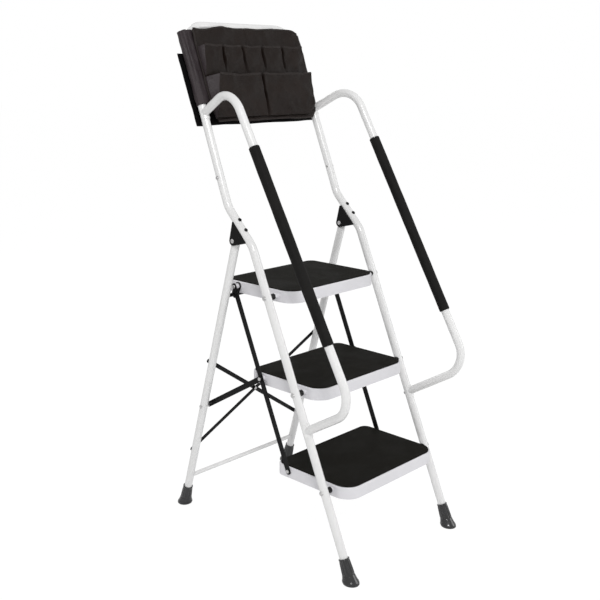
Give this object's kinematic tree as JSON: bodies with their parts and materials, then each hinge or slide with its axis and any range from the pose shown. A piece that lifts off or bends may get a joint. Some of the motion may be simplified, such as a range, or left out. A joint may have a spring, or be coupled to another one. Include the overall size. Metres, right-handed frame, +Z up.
{
  "type": "folding step ladder",
  "caption": "Folding step ladder with rubber-topped treads, two foam-gripped hand rails, an upper hoop and a fabric tool pouch.",
  "frame": {"origin": "on the floor, midway between the front and the rear feet", "axes": "+X to the user's right, +Y from the front feet towards the rear feet, +Z up"},
  "size_m": [0.5012, 0.7009, 1.3794],
  "materials": {
    "white_paint": "glossy powder coat",
    "black_paint": "satin powder coat",
    "zinc_steel": "bright zinc plate",
    "grip_foam": "closed-cell foam",
    "tread_rubber": "ribbed, matte",
    "foot_rubber": "smooth, slightly glossy",
    "black_plastic": "moulded",
    "pouch_fabric": "coated polyester"
  },
  "bodies": {
    "frame": {"front_leg_left": "white_paint", "front_leg_right": "white_paint", "upper_hoop": "white_paint", "hand_rail_left": "white_paint", "hand_rail_right": "white_paint", "grip_left": "grip_foam", "grip_right": "grip_foam", "rail_bolts": "zinc_steel", "hoop_screws": "zinc_steel", "hinge_bracket_left": "black_paint", "hinge_bracket_right": "black_paint", "bracket_screws": "zinc_steel", "hinge_rivets": "zinc_steel", "front_foot_left": "foot_rubber", "front_foot_right": "foot_rubber", "pivot_bolts": "zinc_steel", "pivot_nuts": "zinc_steel", "pivot_bushes": "black_plastic"},
    "rear_frame": {"rear_leg_left": "white_paint", "rear_leg_right": "white_paint", "rear_crossbar": "white_paint", "rest_rod": "black_paint", "brace_right": "black_paint", "brace_left": "black_paint", "brace_rivets": "zinc_steel", "drive_bolts": "zinc_steel", "rear_foot_left": "foot_rubber", "rear_foot_right": "foot_rubber"},
    "bottom_step": {"bottom_tread": "white_paint", "bottom_mat": "tread_rubber", "bottom_link_rivets": "zinc_steel"},
    "middle_step": {"middle_tread": "white_paint", "middle_mat": "tread_rubber", "middle_link_rivets": "zinc_steel"},
    "top_step": {"top_tread": "white_paint", "top_mat": "tread_rubber", "top_link_rivets": "zinc_steel", "rest_hook_left": "black_paint", "rest_hook_right": "black_paint"},
    "tie_link_left": {"tie_link_left": "black_paint"},
    "drive_link_left": {"drive_link_left": "black_paint", "drive_stud_left": "zinc_steel"},
    "tie_link_right": {"tie_link_right": "black_paint"},
    "drive_link_right": {"drive_link_right": "black_paint", "drive_stud_right": "zinc_steel"},
    "pouch": {"pouch_sleeve": "pouch_fabric", "upper_pockets": "pouch_fabric", "lower_pockets": "pouch_fabric"}
  },
  "joints": [
    {"name": "rear_fold", "type": "hinge", "parent": "frame", "child": "rear_frame", "pos_m": [0, 0.08417, 0.824], "axis": [-1, 0, 0], "range_deg": [0, 37.4]},
    {"name": "bottom_step_fold", "type": "hinge", "parent": "frame", "child": "bottom_step", "pos_m": [0, -0.23402, 0.218], "axis": [1, 0, 0], "range_deg": [0, 58.9]},
    {"name": "middle_step_fold", "type": "hinge", "parent": "frame", "child": "middle_step", "pos_m": [0, -0.13335, 0.454], "axis": [1, 0, 0], "range_deg": [0, 58.9]},
    {"name": "top_step_fold", "type": "hinge", "parent": "frame", "child": "top_step", "pos_m": [0, -0.03269, 0.69], "axis": [1, 0, 0], "range_deg": [0, 58.9]},
    {"name": "tie_link_left_turn", "type": "hinge", "parent": "middle_step", "child": "tie_link_left", "pos_m": [-0.1875, 0.01865, 0.4555], "axis": [1, 0, 0], "range_deg": [-58.9, 0]},
    {"name": "drive_link_left_turn", "type": "hinge", "parent": "middle_step", "child": "drive_link_left", "pos_m": [-0.192, 0.01865, 0.4555], "axis": [1, 0, 0], "range_deg": [-128.6, 0]},
    {"name": "tie_link_right_turn", "type": "hinge", "parent": "middle_step", "child": "tie_link_right", "pos_m": [0.1875, 0.01865, 0.4555], "axis": [1, 0, 0], "range_deg": [-58.9, 0]},
    {"name": "drive_link_right_turn", "type": "hinge", "parent": "middle_step", "child": "drive_link_right", "pos_m": [0.192, 0.01865, 0.4555], "axis": [1, 0, 0], "range_deg": [-128.6, 0]},
    {"name": "pouch_lift", "type": "slide", "parent": "frame", "child": "pouch", "axis": [0, 0.3649, 0.9311], "range_m": [0, 0.28]}
  ],
  "couplings": [
    {"joint": "bottom_step_fold", "follows": "rear_fold", "ratio": 1.5749},
    {"joint": "middle_step_fold", "follows": "rear_fold", "ratio": 1.5749},
    {"joint": "top_step_fold", "follows": "rear_fold", "ratio": 1.5749},
    {"joint": "tie_link_left_turn", "follows": "rear_fold", "ratio": -1.5749},
    {"joint": "drive_link_left_turn", "follows": "rear_fold", "ratio": -3.4385},
    {"joint": "tie_link_right_turn", "follows": "rear_fold", "ratio": -1.5749},
    {"joint": "drive_link_right_turn", "follows": "rear_fold", "ratio": -3.4385}
  ]
}
